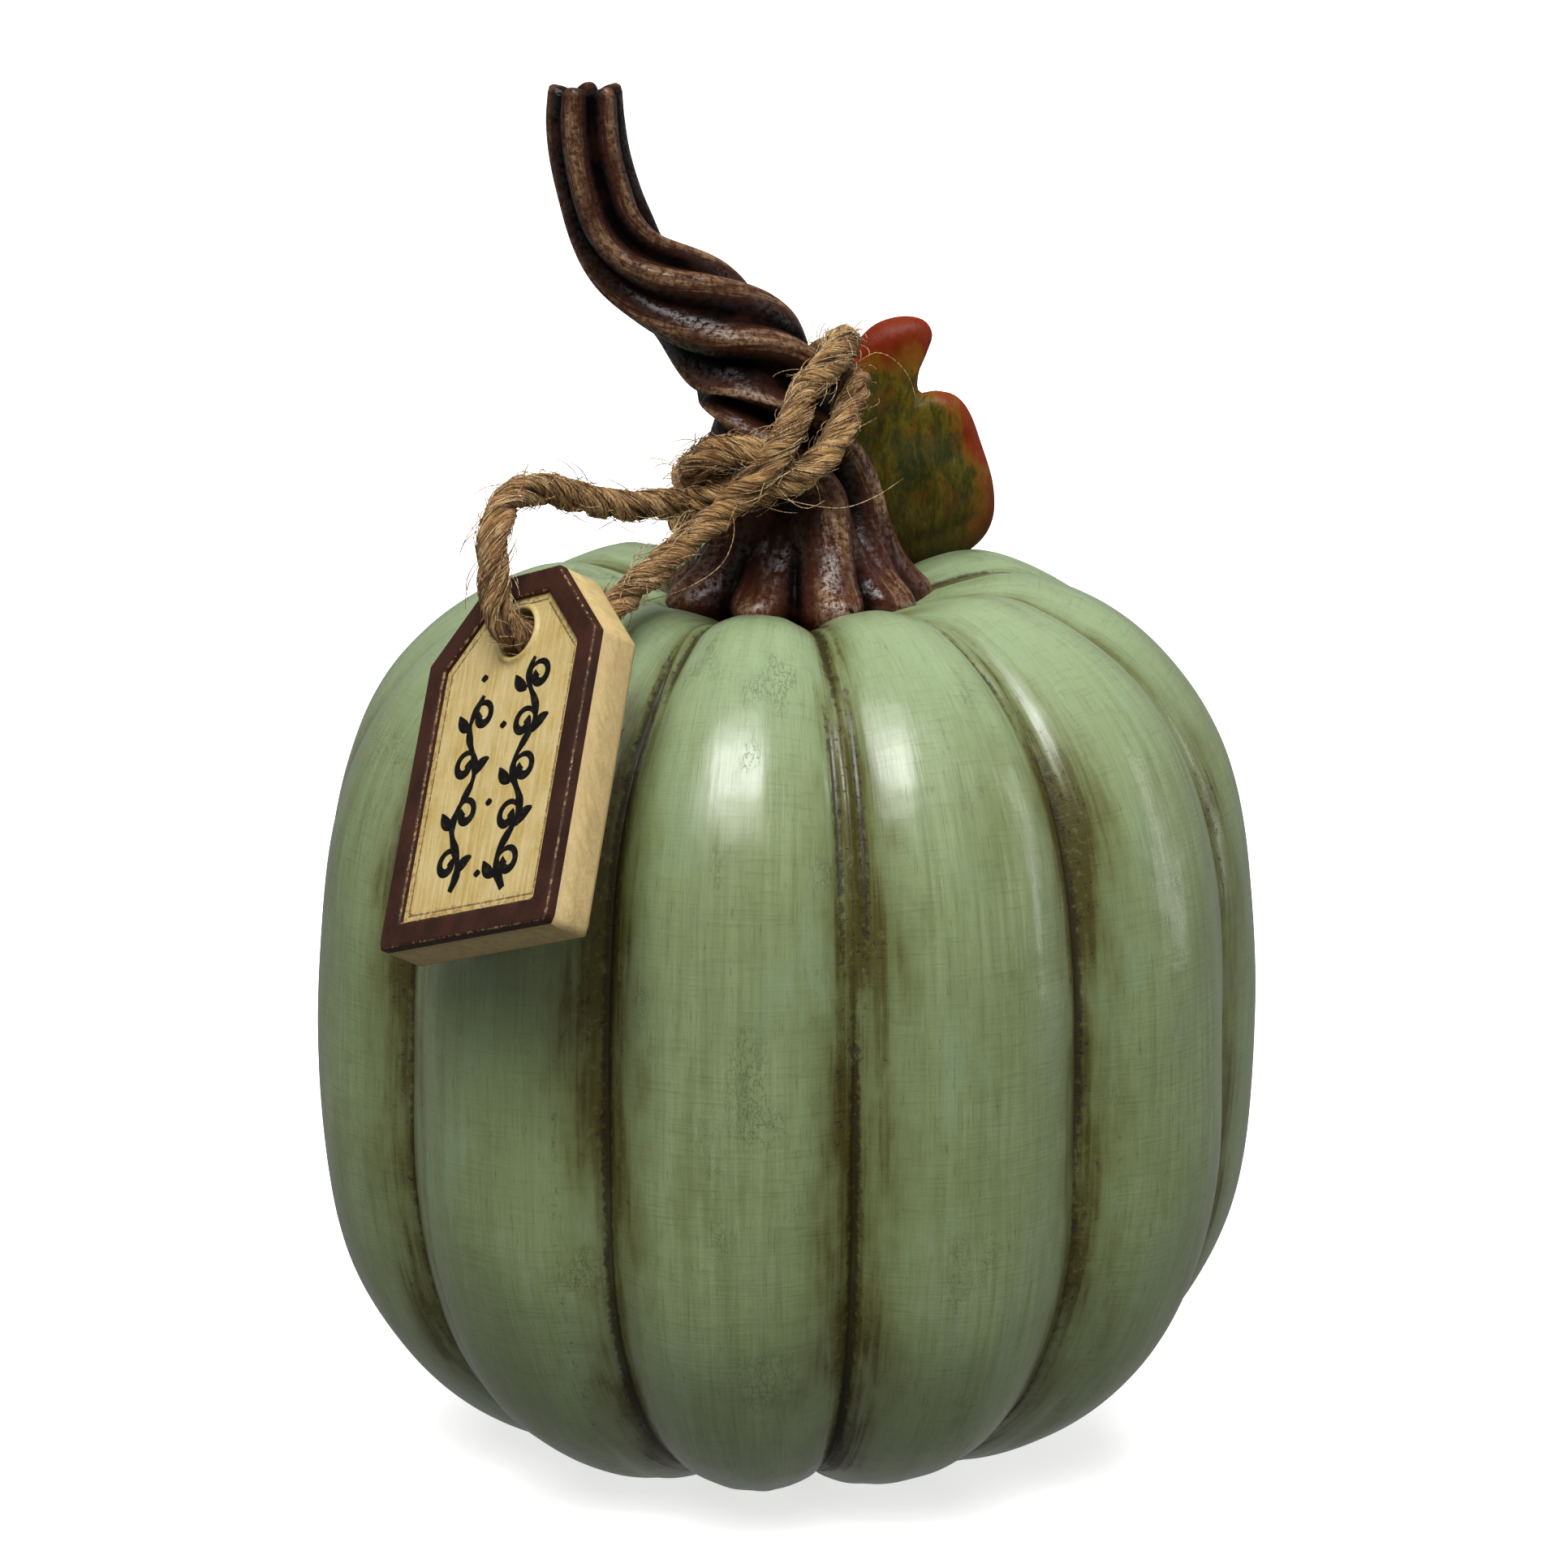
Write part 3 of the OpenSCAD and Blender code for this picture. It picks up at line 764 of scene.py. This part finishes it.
def make_body():
    """The lobed body, with its flat base and the vent."""
    latitude = np.linspace(-POLE, POLE, BODY_ROWS)
    line = crest(latitude)
    step = crest(latitude + 0.3) - crest(latitude - 0.3)
    inward = unit(np.stack([-step[:, 1], step[:, 0]], -1))
    run = run_along(line)

    share = (1 - np.cos(np.pi * np.arange(LOBE_COLUMNS) / LOBE_COLUMNS)) / 2
    ends = GROOVES[1:] + [GROOVES[0] + 360]
    azimuth = np.concatenate([lo + share * (hi - lo) for lo, hi in zip(GROOVES, ends)])
    lobe = np.repeat(np.arange(len(GROOVES)), LOBE_COLUMNS)
    width = np.repeat(np.radians(np.array(ends) - GROOVES), LOBE_COLUMNS)
    u = np.tile(share, len(GROOVES))
    from_crest = np.abs(2 * u - 1)
    turned = np.radians(azimuth)

    radius = line[:, :1]
    narrow = radius / BODY_R
    from_groove = (1 - from_crest) * width / 2 * radius
    sink = from_crest**LOBE_ROUND * GROOVE_DEPTH * narrow**GROOVE_FADE
    flow = np.stack([BODY_R * np.cos(turned), BODY_R * np.sin(turned), 0 * turned], -1)
    spot = flow + run[:, None, None] * [0, 0, 1]
    ribbed = ease(waves(spot * [1, 1, 0.4], 34, 12), -0.5, 0.3)
    ribbed *= 0.35 + 0.65 * ease(line[:, 1:], 48, 66)
    rib = ribbed * np.exp(-((from_groove / RIB_W) ** 2))
    crease = ribbed * np.exp(-(((from_groove - CREASE_OFF) / CREASE_W) ** 2))
    crease += (1 - ribbed) * np.exp(-((from_groove / CREASE_W / 1.6) ** 2))
    sink += (CREASE_DEPTH * crease - RIB_HEIGHT * rib) * np.minimum(1, narrow * 1.6)
    fold = np.exp(-(((from_groove - FOLD_OFF) / FOLD_W) ** 2))
    fold *= ease(waves(spot * [1, 1, 0.3], 30, 3), -0.2, 0.8)
    sink += FOLD_DEPTH * fold * np.minimum(1, narrow * 1.4)
    crease += 0.5 * fold
    uneven = 0.13 * waves(spot, 26, 1) + 0.05 * waves(spot * [1, 1, 0.35], 6, 2)
    sink += uneven * np.minimum(1, narrow * 1.5)
    sink -= 0.15 * np.sin(lobe * 2.4 + 1) * (1 - from_crest**2) * narrow

    flat = line[:, None, :] + sink[..., None] * inward[:, None, :]
    # Under the stem's root the crown turns down, so that the root stands in it
    dive = SEAT_DIVE * (1 - ease(radius, 7.5, 11)) * (latitude[:, None] > 0)
    out, up = flat[..., 0], np.maximum(0, flat[..., 1] - dive)
    points = np.stack([out * np.sin(turned), -out * np.cos(turned), up], -1)
    columns = len(azimuth)
    groove = np.broadcast_to(from_crest, sink.shape)

    # The base runs in to the vent, and the vent goes up through the wall
    vent = np.stack([VENT_R * np.sin(turned), -VENT_R * np.cos(turned), 0 * turned], -1)
    vent += [*VENT_MIDDLE, 0]
    flat_from = int(np.argmax(line[:, 0] > BASE_R))
    inner = [vent + [0, 0, WALL], vent + [0, 0, 0.3], vent]
    inner += [vent + (points[flat_from] * [1, 1, 0] - vent) * part for part in (0.08, 0.4, 0.7)]
    points = np.concatenate([np.array(inner), points[flat_from:]])
    flat_part = np.ones((len(inner), columns))
    groove = np.concatenate([flat_part * 0.2, groove[flat_from:]])
    crease = np.concatenate([flat_part * 0, crease[flat_from:]])
    spot = np.concatenate([flat_part[..., None] * spot[flat_from], spot[flat_from:]])
    body = ring_piece(
        "body", points, glazed_sage(), "root", "glazed_body", groove=groove, crease=crease, brush=spot,
    )
    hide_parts("body_shell")
    # Closes the top of the vent
    lid = np.array([vent + [0, 0, WALL - 0.4], np.zeros_like(vent) + [*VENT_MIDDLE, WALL - 0.2]])
    ring_piece("body_vent_floor", lid, bare_clay(), "root", "glazed_body")


make_body()


# ---- stem

RIDGES = 5
TOES = 9
# Shares of the radius that the grooves take, between the ridges and between the toes of the root
RIDGE_DEPTH = 0.38
FOOT_DEPTH = 0.3
# The ridges turn this far, between these heights
TWIST = radians(-262)
TWIST_LOW = 89
TWIST_HIGH = 115
STEM_SIDES = 210
# Rings of the hollow end: share of the stem's radius, depth, and how ridged and how ragged each is
STEM_END = [
    (0.96, -0.2, 1, 1), (0.87, -0.42, 1, 0.8), (0.72, -0.4, 0.9, 0.6), (0.45, 0.3, 0.5, 0),
    (0.2, 0.7, 0.3, 0), (0.02, 0.8, 0.2, 0),
]


def make_stem():
    """The stem, with ridges that twist round it, toes at its root and a hollow end."""
    x, height, radius = stem_line.T
    around = circle(STEM_SIDES)
    run = run_along(stem_line[:, :2])
    spread = np.hanning(31)
    way = [np.convolve(np.pad(np.gradient(part), 15, "edge"), spread, "valid") for part in (x, height)]
    dx, dz = unit(np.stack(way, -1)).T
    twist = TWIST * ease(height, TWIST_LOW, TWIST_HIGH)
    turned = around[None, :] - twist[:, None]
    uneven = turned + 0.13 * np.sin(turned * 2 + 0.6) + 0.1 * np.sin(turned * 3 + 2)
    ridge = np.abs(np.cos(RIDGES * uneven / 2)) ** 1.1
    foot = 1 - ease(height, 80, 89)[:, None]
    toes = np.abs(np.cos(TOES / 2 * (around - 0.14))) ** 0.75
    depth = RIDGE_DEPTH * (1 + 0.15 * np.sin(turned + run[:, None] * 0.12)) * (1 - 0.7 * foot)
    lines = np.abs(np.sin(RIDGES * 1.5 * uneven + 0.5 * np.sin(run[:, None] * 0.3)))
    shape = 1 - depth * (1 - ridge) - 0.02 * lines * ridge - FOOT_DEPTH * foot * (1 - toes)
    ridge = ridge * (1 - foot) + foot * toes
    toe = 1 - 0.16 * (1 - ease(height, 77.5, 80.2))[:, None]
    out = radius[:, None] * shape * toe
    spot = np.stack([np.cos(turned) * 6, np.sin(turned) * 6, run[:, None] + 0 * turned], -1)
    out = out + 0.12 * waves(spot * [1, 1, 0.5], 5, 8) * np.minimum(1, radius[:, None] / 5)

    def ring(k, out, lower=0):
        """The ring at station k, at a distance out from the middle, and lowered along the stem."""
        across, beside = out * np.cos(around), out * np.sin(around)
        up = height[k] - across * dx[k] - lower * dz[k]
        return np.stack([x[k] + across * dz[k] - lower * dx[k], beside, up], -1)

    rings = [ring(k, out[k]) for k in range(len(x))]
    # The ridges stand up past the rim and the grooves cut down into it
    rim_ridge, rim_spot = ridge[-1], spot[-1]
    ridge, spot = [*ridge], [*spot]
    for k, (share, lower, ridged, ragged) in enumerate(STEM_END):
        rings.append(ring(-1, out[-1] * share, lower))
        rings[-1][:, 2] += 1.1 * (rim_ridge - 0.65) * ragged
        ridge.append(rim_ridge * ridged)
        spot.append(rim_spot + [0, 0, k * 0.5])
    stem = ring_piece(
        "stem", np.array(rings), painted_bark(), "root", "painted_stem",
        ridge=np.array(ridge), grain=np.array(spot),
    )
    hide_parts("stem")


make_stem()


# ---- leaf

LEAF_BASE = np.array([5.6, 11.3, 79.1])
LEAF_T = 3.4
LEAF_LEAN = radians(11)
LEAF_MIDDLE = np.array([0, 11])
# Right-hand half of the outline up to the notch, [across, along], and the tip, which leans to the right
LEAF_HALF = [
    [2, 0.4], [6, 2.2], [9.6, 3.8], [11.8, 5.8], [12.6, 8.4], [11.9, 11.6], [10.1, 15], [8.5, 17.6],
    [6.9, 18.9], [5, 19], [3.5, 18.6],
]
LEAF_TIP = [
    [3.1, 20.4], [3.5, 22.6], [3.6, 24.2], [2.5, 25.3], [0.4, 25.2], [-1.8, 24], [-3.2, 21.9], [-3.4, 20.2],
]
# Foot and ends of the veins, [across, along]
VEIN_FOOT = np.array([0.3, 1.5])
VEIN_ENDS = [[0.6, 22.5], [8.6, 15.5], [10.8, 8.2], [-8.6, 15.5], [-10.8, 8.2]]
VEIN_W = 0.42
VEIN_DEPTH = 0.42
# Width of the rounded edge
LEAF_ROUND_W = 1.9
LEAF_STEPS = 26


def make_leaf():
    """The leaf, from the middle of its front out to the edge and in again on the back."""
    outline = LEAF_HALF + LEAF_TIP + [[-a, b] for a, b in reversed(LEAF_HALF)]
    outline = smooth_line(outline, 0.45, closed=True)
    share = np.sin(np.linspace(0, pi / 2, LEAF_STEPS))[:, None]
    flat = LEAF_MIDDLE + share[..., None] * (outline - LEAF_MIDDLE)

    rim = np.linalg.norm(outline - LEAF_MIDDLE, axis=1)
    from_edge = (1 - share) * rim
    bulge = np.sqrt(1 - np.clip(1 - from_edge / LEAF_ROUND_W, 0, 1) ** 2)
    vein = np.zeros(flat.shape[:2])
    for end in VEIN_ENDS:
        way = np.array(end) - VEIN_FOOT
        t = np.clip(((flat - VEIN_FOOT) @ way) / (way @ way), 0, 1)
        off = np.linalg.norm(flat - VEIN_FOOT - t[..., None] * way, axis=-1)
        vein = np.maximum(vein, np.exp(-((off / VEIN_W) ** 2)) * (1 - 0.7 * t))
    pillow = 0.3 * ease(from_edge, 0, 4)
    lumps = 0.14 * waves(np.concatenate([flat, 0 * flat[..., :1]], -1), 5, 11)
    half = LEAF_T / 2
    front = (half * 0.88 + pillow - VEIN_DEPTH * vein + lumps) * bulge
    back = (half * 0.9 + lumps * 0.5) * bulge
    # The edge curls forward
    lean = 0.225 * ease(share * rim, 5, 15) - 0.12

    def place(sheet, off):
        """Points of the flat leaf at a distance in front of its middle plane, put where the leaf stands."""
        a, b = sheet[..., 0], sheet[..., 1]
        across = a * cos(LEAF_LEAN) + b * sin(LEAF_LEAN)
        up = b * cos(LEAF_LEAN) - a * sin(LEAF_LEAN)
        return LEAF_BASE + np.stack([across, half - off, up], -1)

    def both(on_front, on_back):
        """Values on the front, then those on the back in reverse, without its outermost ring twice."""
        return np.concatenate([on_front, on_back[::-1][1:]])

    edge = np.broadcast_to(1 - ease(from_edge, 0, 2.8), flat.shape[:2])
    side, up = np.abs(flat[..., 0]), flat[..., 1]
    tip = np.maximum(ease(up, 18, 22.5) * 0.95, ease(side + up, 21, 26) * 0.5)
    tip = np.maximum(tip, ease(side, 8.5, 12.5) * 0.4)
    leaf = ring_piece(
        "leaf", both(place(flat, front + lean), place(flat, lean - back)), painted_leaf(), "root",
        "painted_leaf", edge=both(edge, edge) * 0.6, tip=both(tip, tip), vein=both(vein, vein),
    )
    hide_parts("leaf")


make_leaf()


# ---- tag

# Middle of the hole on the tag's front, and how the tag is turned, in degrees
TAG_AT = np.array([-23, -31, 82.7])
TAG_HEADING = -53
TAG_RISE = 27.5
TAG_ROLL = 19.5
TAG_W = 21.6
TAG_L = 32.8
TAG_T = 4.9
TAG_TOP_W = 9
TAG_SIDE_L = 26
HOLE_DROP = 5.4
HOLE_R = 2.2
BORDER_W = 2.2
SUNK = 0.5
TAG_SIDES = 360


def tag_axes():
    """The tag's right, up and outward directions."""
    heading, rise, roll = (radians(v) for v in (TAG_HEADING, TAG_RISE, TAG_ROLL))
    level = np.array([cos(heading), sin(heading), 0])
    out = facing(heading, rise)
    up = np.cross(out, level)
    return level * cos(roll) + up * sin(roll), up * cos(roll) - level * sin(roll), out


TAG_RIGHT, TAG_UP, TAG_OUT = tag_axes()


def on_tag(across, along, out):
    """Points in the tag's own measures, from the hole's middle on the front, put in the frame."""
    return TAG_AT + np.stack([across, along, out], -1) @ [TAG_RIGHT, TAG_UP, TAG_OUT]


tag_ways = np.stack([np.cos(circle(TAG_SIDES)), np.sin(circle(TAG_SIDES))], -1)
shoulder = HOLE_DROP - TAG_L + TAG_SIDE_L
slant = unit([HOLE_DROP - shoulder, (TAG_W - TAG_TOP_W) / 2])
slant_at = slant @ [TAG_W / 2, shoulder]
# The six edges of the tag: their directions outward, and their distances from the hole's middle
EDGE_WAYS = np.array([[0, 1], [0, -1], [1, 0], [-1, 0], slant, slant * [-1, 1]])
EDGE_AT = np.array([HOLE_DROP, TAG_L - HOLE_DROP, TAG_W / 2, TAG_W / 2, slant_at, slant_at])


def hole_ring(radius, out):
    """A circle round the hole, at a distance out from the front."""
    return np.concatenate([tag_ways * radius, np.full((TAG_SIDES, 1), out)], -1)


def tag_ring(inset, out):
    """The tag's outline moved in from its edge, at a distance out from the front."""
    reach = (EDGE_AT - inset) / np.maximum(tag_ways @ EDGE_WAYS.T, 1e-6)
    return hole_ring(reach.min(1)[:, None], out)


def tag_piece(name, rings, finish, slot, worn=None):
    """A piece of the tag from rings round the hole. Worn has one value for each ring.

    The attribute edge is the distance in from the label's outline.
    """
    local = np.array(rings)
    attributes = {"along": local, "edge": (EDGE_AT - local[..., :2] @ EDGE_WAYS.T).min(-1) - BORDER_W}
    if worn:
        attributes["worn"] = np.repeat(worn, TAG_SIDES).reshape(-1, TAG_SIDES)
    return ring_piece(name, on_tag(*local.T).swapaxes(0, 1), finish, "tag", slot, **attributes)


# Profiles of the tag's pieces: [distance in from the outline, distance out from the front]
BLOCK_PROFILE = [
    [0.5, -TAG_T], [0.22, 0.05 - TAG_T], [0.06, 0.2 - TAG_T], [0, 0.5 - TAG_T], [0, -2.8], [0, -1],
    [0.6, -1],
]
BORDER_PROFILE = [
    [0.02, -1], [0, -0.85], [0, -0.3], [0.05, -0.12], [0.17, -0.02], [0.35, 0], [BORDER_W - 0.35, 0],
    [BORDER_W - 0.15, -0.03], [BORDER_W - 0.03, -0.14], [BORDER_W, -0.3], [BORDER_W, -1],
]
# Profile of the raised rim round the hole: [distance out from the hole's wall, distance out from the front]
RIM_PROFILE = [[0, -1], [0, -0.42], [0.08, -0.3], [0.25, -0.24], [0.45, -0.3]]


def make_tag():
    """The block, its border and the sunk label."""
    # The block's rings come back to the first one
    rings = [hole_ring(HOLE_R, -1), hole_ring(HOLE_R, 0.3 - TAG_T), hole_ring(HOLE_R + 0.3, -TAG_T)]
    rings += [tag_ring(*step) for step in BLOCK_PROFILE] + rings[:1]
    worn = [0.6, 0.6, 0.8, 0.5, 1, 1, 0.3, 0, 0.35, 0.6, 0.6]
    block = tag_piece("tag_block", rings, sawn_wood(), "tag_side", worn)
    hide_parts("tag_block")

    rings = [tag_ring(*step) for step in BORDER_PROFILE]
    worn = [0.3, 0.3, 0.4, 0.75, 0.7, 0.25, 0.25, 0.7, 0.8, 0.5, 0.2]
    border = tag_piece("tag_border", rings, border_paint(), "tag_border", worn)
    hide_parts("tag_border")

    low, high = hole_ring(HOLE_R + 0.55, -SUNK), tag_ring(BORDER_W, -SUNK)
    rings = [hole_ring(HOLE_R + wider, out) for wider, out in RIM_PROFILE]
    rings += [low * (1 - part) + high * part for part in np.linspace(0, 1, 40)]
    label = tag_piece("tag_label", rings, antique_cream(), "tag_label")
    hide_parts("tag_label")


make_tag()


# ---- painted motif on the tag

PAINT_H = 0.07
STROKE_SIDES = 7
# Places of the dots, [across, along]
DOTS = [[-3.4, -3.6], [0.2, -8.4], [0.1, -15.4], [0.2, -21.8]]


def stroke(points, widths):
    """A brush stroke on the label: a low rounded ribbon along the points, as wide as the widths say."""
    line = smooth_line(np.column_stack([points, widths]), 0.12)
    flat, width = line[:, :2], np.clip(line[:, 2], 0.04, None)
    way = unit(np.gradient(flat, axis=0))
    side = np.stack([-way[:, 1], way[:, 0]], -1)
    cut = np.linspace(-1, 1, STROKE_SIDES)
    across = flat[:, None, :] + side[:, None, :] * (width[:, None] / 2 * cut)[..., None]
    lift = -SUNK - 0.01 + PAINT_H * np.broadcast_to(np.sqrt(1 - 0.98 * cut**2), across.shape[:2])
    points = on_tag(across[..., 0], across[..., 1], lift).reshape(-1, 3)
    a = np.arange(len(line) - 1)[:, None] * STROKE_SIDES + np.arange(STROKE_SIDES - 1)
    b = a + STROKE_SIDES
    return points, np.stack([a, a + 1, b + 1, b], -1).reshape(-1, 4)


def curl(middle, radius, start, sweep, thick):
    """A spiral tendril that winds in to a round end."""
    t = np.linspace(0, 1, 12)
    w = np.radians(start + sweep * t)
    r = radius * (1 - 0.72 * t)
    points = np.stack([middle[0] + r * np.cos(w), middle[1] + r * np.sin(w)], -1)
    return points, thick * (0.35 + 0.9 * t * (2 - t) * 0.8)


def leaf_stroke(foot, angle, length, width):
    """A small almond leaf."""
    t = np.linspace(0, 1, 7)
    w = radians(angle)
    way = np.array([cos(w), sin(w)])
    side = np.array([-way[1], way[0]])
    bend = 0.12 * length * np.sin(pi * t)
    points = np.array(foot) + length * t[:, None] * way + bend[:, None] * side
    return points, width * np.sin(pi * (0.06 + 0.9 * t)) ** 0.8


def vine(middle, low, high, sway, turns, hand):
    """A wavy stem with a tendril and a leaf at each bend."""
    t = np.linspace(0, 1, 28)
    along = low + (high - low) * t
    across = middle + sway * np.sin(tau * turns * t + hand)
    strokes = [(np.stack([across, along], -1), 0.68 + 0.4 * np.sin(7 * t * pi) ** 2 - 0.2 * t)]
    for k in range(int(turns * 2)):
        part = (k + 0.55) / (turns * 2)
        bend = sin(tau * turns * part + hand)
        x = middle + sway * bend
        y = low + (high - low) * part
        way = -1 if bend > 0 else 1
        strokes.append(curl([x + way * 1.35, y + 0.1], 1.45, 180 if way > 0 else 0, -way * 400, 0.86))
        strokes.append(leaf_stroke([x, y - 1], 90 + way * 50, 2.3, 1.15))
    return strokes


def make_motif():
    """Two painted vines along the label, and a few dots."""
    strokes = vine(-3.4, -23, -5.2, 0.85, 2, 0.4) + vine(3.4, -23.6, -2.6, 0.9, 2.5, 2.6)
    for x, y in DOTS:
        points = [[x, y + step] for step in (-0.34, -0.1, 0.15, 0.36)]
        strokes.append((points, [0.15, 0.85, 0.8, 0.15]))
    verts, faces = [], []
    for points, widths in strokes:
        ribbon, quads = stroke(points, widths)
        faces += (quads + len(verts)).tolist()
        verts.extend(ribbon)
    piece("tag_motif", verts, faces, brush_black(), "tag", "tag_label")


make_motif()


# ---- the loop and its loose fibres, baked where they stand

for soft in (loop, loop_hairs):
    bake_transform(soft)


# ---- floor and light

def floor_paint():
    """Plain white, which gives off some light so that it merges into the surround."""
    f = Finish("floor_paint", Roughness=0.7, Emission_Strength=0.7, Emission_Color=(1, 1, 1))
    cloud = f.noise(f.place(), 0.004, 2)
    colour = f.mix(f.between(cloud, 0.3, 0.7), (0.86, 0.86, 0.86), (0.88, 0.88, 0.88))
    return f.fill(Base_Color=colour, Normal=f.relief((cloud, 0.01)))


floor_mesh = bpy.data.meshes.new("floor")
floor_mesh.from_pydata([(-6, -6, 0), (6, -6, 0), (6, 6, 0), (-6, 6, 0)], [], [(0, 1, 2, 3)])
floor_mesh.materials.append(floor_paint())
floor = placed("floor", floor_mesh)
# The floor's own light stays off the object, so that the lobes keep their shade
floor.visible_diffuse = False
floor.visible_glossy = False


# The lamps face this height on the object's axis
LIT_HEIGHT = 0.06


def soft_box(name, azimuth, elevation, distance, width, height, power, glossy=True):
    """An area light at an azimuth from the front towards the right, mirrored in the glaze if glossy."""
    data = bpy.data.lights.new(name, "AREA")
    data.shape = "RECTANGLE"
    data.size = width
    data.size_y = height
    data.energy = power
    lamp = placed(name, data)
    a, e = radians(azimuth), radians(elevation)
    lamp.location = (facing(a, e) * distance + [0, 0, LIT_HEIGHT]).tolist()
    lamp.rotation_euler = (pi / 2 - e, 0, a)
    lamp.visible_glossy = glossy


soft_box("key", -8, 57, 0.8, 0.42, 0.26, 3.8)
soft_box("right_strip", 96, 12, 0.9, 0.08, 0.6, 1)
soft_box("left_strip", -80, 20, 0.9, 0.1, 0.7, 0.25)
soft_box("back", 165, 56, 0.9, 0.7, 0.3, 6, glossy=False)
soft_box("low_fill", 60, -2, 0.9, 0.5, 0.06, 1, glossy=False)

overhead_data = bpy.data.lights.new("overhead", "SUN")
overhead_data.energy = 2.45
overhead_data.angle = radians(50)
overhead = placed("overhead", overhead_data)
overhead.rotation_euler = (radians(30), 0, radians(-13))

# An even surround
world = bpy.data.worlds.new("studio")
world.use_nodes = True
background = world.node_tree.nodes["Background"]
background.inputs["Color"].default_value = (1, 1, 1, 1)
background.inputs["Strength"].default_value = 0.23
bpy.context.scene.world = world
bpy.context.scene.view_settings.view_transform = "Standard"
